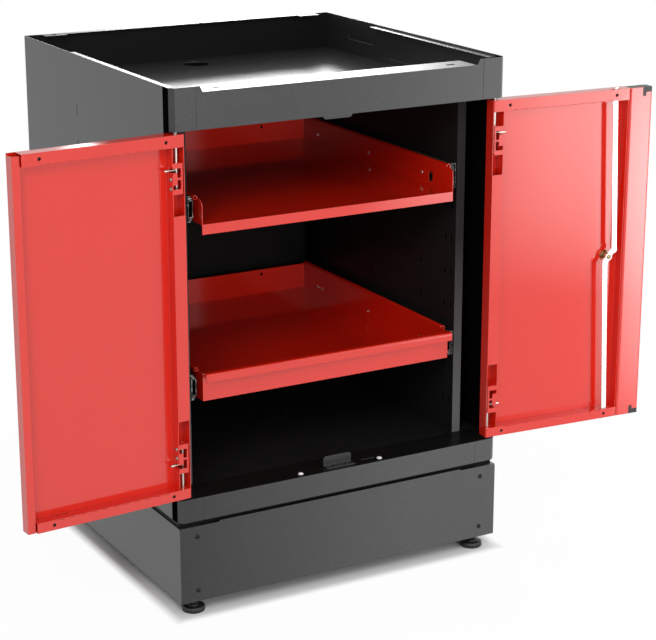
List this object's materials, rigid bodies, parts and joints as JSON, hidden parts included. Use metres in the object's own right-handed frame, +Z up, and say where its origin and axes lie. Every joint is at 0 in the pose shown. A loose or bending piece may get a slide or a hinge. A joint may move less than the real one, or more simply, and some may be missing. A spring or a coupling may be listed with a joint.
{
  "type": "workshop cabinet",
  "caption": "Workshop base cabinet: folded sheet body on a plinth with levelling feet, box-edged doors that swing wide on pins, pull-out trays on slides and a rod lock.",
  "frame": {"origin": "on the floor under the middle of the body", "axes": "+X along the width to the viewer's right, -Y the front that the doors close, +Z up"},
  "size_m": [1.2447, 0.664, 0.93],
  "materials": {
    "body_paint": "satin powder coat, near black",
    "inner_paint": "satin powder coat, black",
    "door_paint": "gloss powder coat, red",
    "zinc": "bright zinc plating",
    "brass": "dull brass",
    "black_plastic": "fine grain",
    "white_plastic": "smooth"
  },
  "bodies": {
    "cabinet": {"left_side_panel": "body_paint", "right_side_panel": "body_paint", "back_panel": "body_paint", "top_panel": "body_paint", "bottom_panel": "body_paint", "top_rail": "body_paint", "bottom_rail": "body_paint", "worktop_tabs": "body_paint", "top_stop": "body_paint", "bottom_stop": "body_paint", "plinth_frame": "body_paint", "plinth_front": "body_paint", "foot_plates": "body_paint", "left_inner_wall": "inner_paint", "right_inner_wall": "inner_paint", "stop_screws": "zinc", "sill_buffers": "white_plastic", "pin_bushes": "black_plastic", "plinth_screws": "black_plastic", "plinth_riser": "black_plastic", "foot_nuts": "zinc", "slide_outer_members": "zinc"},
    "left_door": {"left_door_skin": "door_paint", "left_top_channel": "door_paint", "left_low_channel": "door_paint", "left_hinge_channel": "door_paint", "left_upper_bracket": "door_paint", "left_lower_bracket": "door_paint", "left_bracket_screws": "zinc"},
    "right_door": {"right_door_skin": "door_paint", "right_top_channel": "door_paint", "right_low_channel": "door_paint", "right_hinge_channel": "door_paint", "right_upper_bracket": "door_paint", "right_lower_bracket": "door_paint", "right_bracket_screws": "zinc", "handle_profile": "door_paint", "handle_caps": "black_plastic", "lock_body": "brass", "lock_nut": "brass"},
    "upper_tray": {"upper_tray": "door_paint", "upper_slide_inners": "zinc", "upper_tray_rivets": "zinc"},
    "lower_tray": {"lower_tray": "door_paint", "lower_slide_inners": "zinc", "lower_tray_rivets": "zinc"},
    "upper_slide": {"upper_slide_middles": "zinc"},
    "lower_slide": {"lower_slide_middles": "zinc"},
    "lock_bar": {"lock_bar": "zinc"},
    "upper_rod": {"upper_rod": "zinc"},
    "lower_rod": {"lower_rod": "zinc"},
    "left_upper_pin": {"left_upper_pin": "zinc"},
    "left_lower_pin": {"left_lower_pin": "zinc"},
    "right_upper_pin": {"right_upper_pin": "zinc"},
    "right_lower_pin": {"right_lower_pin": "zinc"},
    "foot_front_left": {"foot_front_left": "black_plastic"},
    "foot_front_right": {"foot_front_right": "black_plastic"},
    "foot_back_left": {"foot_back_left": "black_plastic"},
    "foot_back_right": {"foot_back_right": "black_plastic"}
  },
  "joints": [
    {"name": "left_door_hinge", "type": "hinge", "parent": "cabinet", "child": "left_door", "pos_m": [-0.312, -0.3085, 0.538], "axis": [0, 0, -1], "range_deg": [-176, 0]},
    {"name": "right_door_hinge", "type": "hinge", "parent": "cabinet", "child": "right_door", "pos_m": [0.312, -0.3085, 0.538], "axis": [0, 0, 1], "range_deg": [-176, 0]},
    {"name": "upper_tray_slide", "type": "slide", "parent": "cabinet", "child": "upper_tray", "axis": [0, -1, 0], "range_m": [0, 0.5]},
    {"name": "lower_tray_slide", "type": "slide", "parent": "cabinet", "child": "lower_tray", "axis": [0, -1, 0], "range_m": [0, 0.5]},
    {"name": "upper_slide_middle", "type": "slide", "parent": "cabinet", "child": "upper_slide", "axis": [0, -1, 0], "range_m": [0, 0.25]},
    {"name": "lower_slide_middle", "type": "slide", "parent": "cabinet", "child": "lower_slide", "axis": [0, -1, 0], "range_m": [0, 0.25]},
    {"name": "lock_turn", "type": "hinge", "parent": "right_door", "child": "lock_bar", "pos_m": [0.56115, -0.32943, 0.538], "axis": [-0.0698, -0.9976, 0], "range_deg": [-50, 36]},
    {"name": "upper_rod_pivot", "type": "hinge", "parent": "lock_bar", "child": "upper_rod", "pos_m": [0.5703, -0.33508, 0.55111], "axis": [-0.0698, -0.9976, 0], "range_deg": [-38, 52.5]},
    {"name": "lower_rod_pivot", "type": "hinge", "parent": "lock_bar", "child": "lower_rod", "pos_m": [0.5513, -0.33375, 0.52489], "axis": [-0.0698, -0.9976, 0], "range_deg": [-38, 52.5]},
    {"name": "left_upper_pin_turn", "type": "hinge", "parent": "left_door", "child": "left_upper_pin", "pos_m": [-0.312, -0.3085, 0.78], "axis": [0, 0, 1], "range_deg": [0, 86]},
    {"name": "left_lower_pin_turn", "type": "hinge", "parent": "left_door", "child": "left_lower_pin", "pos_m": [-0.312, -0.3085, 0.296], "axis": [0, 0, 1], "range_deg": [0, 86]},
    {"name": "right_upper_pin_turn", "type": "hinge", "parent": "right_door", "child": "right_upper_pin", "pos_m": [0.312, -0.3085, 0.78], "axis": [0, 0, -1], "range_deg": [0, 86]},
    {"name": "right_lower_pin_turn", "type": "hinge", "parent": "right_door", "child": "right_lower_pin", "pos_m": [0.312, -0.3085, 0.296], "axis": [0, 0, -1], "range_deg": [0, 86]},
    {"name": "foot_front_left_turn", "type": "hinge", "parent": "cabinet", "child": "foot_front_left", "pos_m": [-0.291, -0.296, 0.03], "axis": [0, 0, 1], "continuous": true},
    {"name": "foot_front_right_turn", "type": "hinge", "parent": "cabinet", "child": "foot_front_right", "pos_m": [0.291, -0.296, 0.03], "axis": [0, 0, 1], "continuous": true},
    {"name": "foot_back_left_turn", "type": "hinge", "parent": "cabinet", "child": "foot_back_left", "pos_m": [-0.291, 0.296, 0.03], "axis": [0, 0, 1], "continuous": true},
    {"name": "foot_back_right_turn", "type": "hinge", "parent": "cabinet", "child": "foot_back_right", "pos_m": [0.291, 0.296, 0.03], "axis": [0, 0, 1], "continuous": true}
  ],
  "couplings": [
    {"joint": "upper_slide_middle", "follows": "upper_tray_slide", "ratio": 0.5},
    {"joint": "lower_slide_middle", "follows": "lower_tray_slide", "ratio": 0.5},
    {"joint": "upper_rod_pivot", "follows": "lock_turn", "ratio": -1.034},
    {"joint": "lower_rod_pivot", "follows": "lock_turn", "ratio": -1.034}
  ]
}
